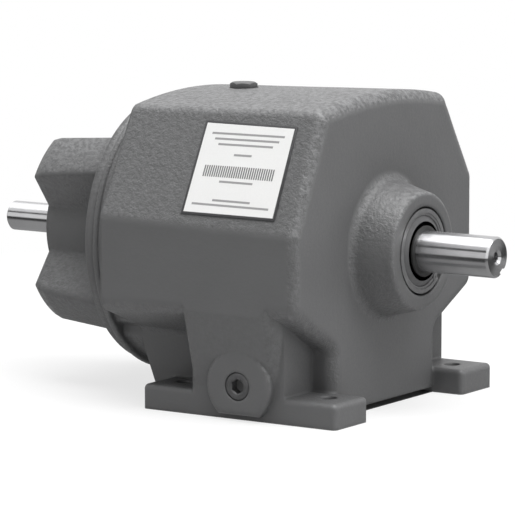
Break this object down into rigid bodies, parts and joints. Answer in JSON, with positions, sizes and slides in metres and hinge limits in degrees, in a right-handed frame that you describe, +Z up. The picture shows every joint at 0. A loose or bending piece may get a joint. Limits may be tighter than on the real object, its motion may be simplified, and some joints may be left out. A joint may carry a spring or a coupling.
{
  "type": "helical gear reducer",
  "caption": "Foot-mounted in-line gear reducer: cast housing, lobed input bracket, and a helical gear train between a keyed input shaft and a keyed output shaft.",
  "frame": {"origin": "centre of the four foot holes, on the plane the feet stand on", "axes": "+X along the shafts towards the output end, +Z up, -Y towards the label side"},
  "size_m": [0.364, 0.21, 0.1948],
  "materials": {
    "housing_paint": "sand-cast iron under a satin grey coat",
    "gasket_fibre": "thin dark fibre sheet",
    "zinc_steel": "zinc-plated steel",
    "ground_steel": "ground bright steel",
    "bare_iron": "machined bare iron",
    "black_steel": "black oxide spring steel",
    "plug_paint": "steel plug painted with the housing",
    "plug_steel": "dark steel socket plug",
    "label_film": "pale satin film with a dark border, left blank",
    "seal_steel": "pressed steel",
    "seal_rubber": "black nitrile rubber",
    "gear_steel": "hardened and ground steel",
    "key_steel": "cold-drawn steel",
    "bearing_steel": "ground bearing steel",
    "ball_steel": "polished bearing steel",
    "cage_steel": "pressed steel cage"
  },
  "bodies": {
    "housing": {"gear_housing": "housing_paint", "input_bracket": "housing_paint", "bracket_gasket": "gasket_fibre", "bracket_screws": "zinc_steel", "bracket_lock_washers": "zinc_steel", "bracket_dowel_pins": "ground_steel", "center_plate": "bare_iron", "center_plate_screws": "black_steel", "fill_plug": "plug_paint", "drain_plug": "plug_steel", "nameplate": "label_film", "output_seal_case": "seal_steel", "output_seal_lip": "seal_rubber", "output_retaining_ring": "black_steel", "input_seal_case": "seal_steel", "input_seal_lip": "seal_rubber", "input_retaining_ring": "black_steel", "output_front_outer_race": "bearing_steel", "output_rear_outer_race": "bearing_steel", "counter_front_outer_race": "bearing_steel", "counter_rear_outer_race": "bearing_steel", "input_front_outer_race": "bearing_steel", "input_rear_outer_race": "bearing_steel"},
    "output": {"output_shaft": "ground_steel", "output_gear": "gear_steel", "output_gear_key": "key_steel", "output_spacer": "key_steel", "output_shaft_clip": "black_steel", "output_front_inner_race": "bearing_steel", "output_rear_inner_race": "bearing_steel"},
    "counter": {"counter_pinion_shaft": "gear_steel", "counter_gear": "gear_steel", "counter_gear_key": "key_steel", "counter_spacer": "key_steel", "counter_front_inner_race": "bearing_steel", "counter_rear_inner_race": "bearing_steel"},
    "input": {"input_pinion_shaft": "ground_steel", "input_spacer": "key_steel", "input_shaft_clip": "black_steel", "input_front_inner_race": "bearing_steel", "input_rear_inner_race": "bearing_steel"},
    "output_front_ball_set": {"output_front_balls": "ball_steel", "output_front_cage": "cage_steel"},
    "output_rear_ball_set": {"output_rear_balls": "ball_steel", "output_rear_cage": "cage_steel"},
    "counter_front_ball_set": {"counter_front_balls": "ball_steel", "counter_front_cage": "cage_steel"},
    "counter_rear_ball_set": {"counter_rear_balls": "ball_steel", "counter_rear_cage": "cage_steel"},
    "input_front_ball_set": {"input_front_balls": "ball_steel", "input_front_cage": "cage_steel"},
    "input_rear_ball_set": {"input_rear_balls": "ball_steel", "input_rear_cage": "cage_steel"}
  },
  "joints": [
    {"name": "output_spin", "type": "hinge", "parent": "housing", "child": "output", "pos_m": [0, 0, 0.098], "axis": [1, 0, 0], "continuous": true},
    {"name": "counter_spin", "type": "hinge", "parent": "housing", "child": "counter", "pos_m": [0, 0.02963, 0.12763], "axis": [1, 0, 0], "continuous": true},
    {"name": "input_spin", "type": "hinge", "parent": "housing", "child": "input", "pos_m": [0, 0, 0.098], "axis": [1, 0, 0], "continuous": true},
    {"name": "output_front_ball_spin", "type": "hinge", "parent": "housing", "child": "output_front_ball_set", "pos_m": [0, 0, 0.098], "axis": [1, 0, 0], "continuous": true},
    {"name": "output_rear_ball_spin", "type": "hinge", "parent": "housing", "child": "output_rear_ball_set", "pos_m": [0, 0, 0.098], "axis": [1, 0, 0], "continuous": true},
    {"name": "counter_front_ball_spin", "type": "hinge", "parent": "housing", "child": "counter_front_ball_set", "pos_m": [0, 0.02963, 0.12763], "axis": [1, 0, 0], "continuous": true},
    {"name": "counter_rear_ball_spin", "type": "hinge", "parent": "housing", "child": "counter_rear_ball_set", "pos_m": [0, 0.02963, 0.12763], "axis": [1, 0, 0], "continuous": true},
    {"name": "input_front_ball_spin", "type": "hinge", "parent": "housing", "child": "input_front_ball_set", "pos_m": [0, 0, 0.098], "axis": [1, 0, 0], "continuous": true},
    {"name": "input_rear_ball_spin", "type": "hinge", "parent": "housing", "child": "input_rear_ball_set", "pos_m": [0, 0, 0.098], "axis": [1, 0, 0], "continuous": true}
  ],
  "couplings": [
    {"joint": "counter_spin", "follows": "output_spin", "ratio": -3.0909},
    {"joint": "input_spin", "follows": "output_spin", "ratio": 8.5},
    {"joint": "output_front_ball_spin", "follows": "output_spin", "ratio": 0.416},
    {"joint": "output_rear_ball_spin", "follows": "output_spin", "ratio": 0.40833},
    {"joint": "counter_front_ball_spin", "follows": "output_spin", "ratio": -1.177},
    {"joint": "counter_rear_ball_spin", "follows": "output_spin", "ratio": -1.177},
    {"joint": "input_front_ball_spin", "follows": "output_spin", "ratio": 3.2427},
    {"joint": "input_rear_ball_spin", "follows": "output_spin", "ratio": 3.2427}
  ]
}
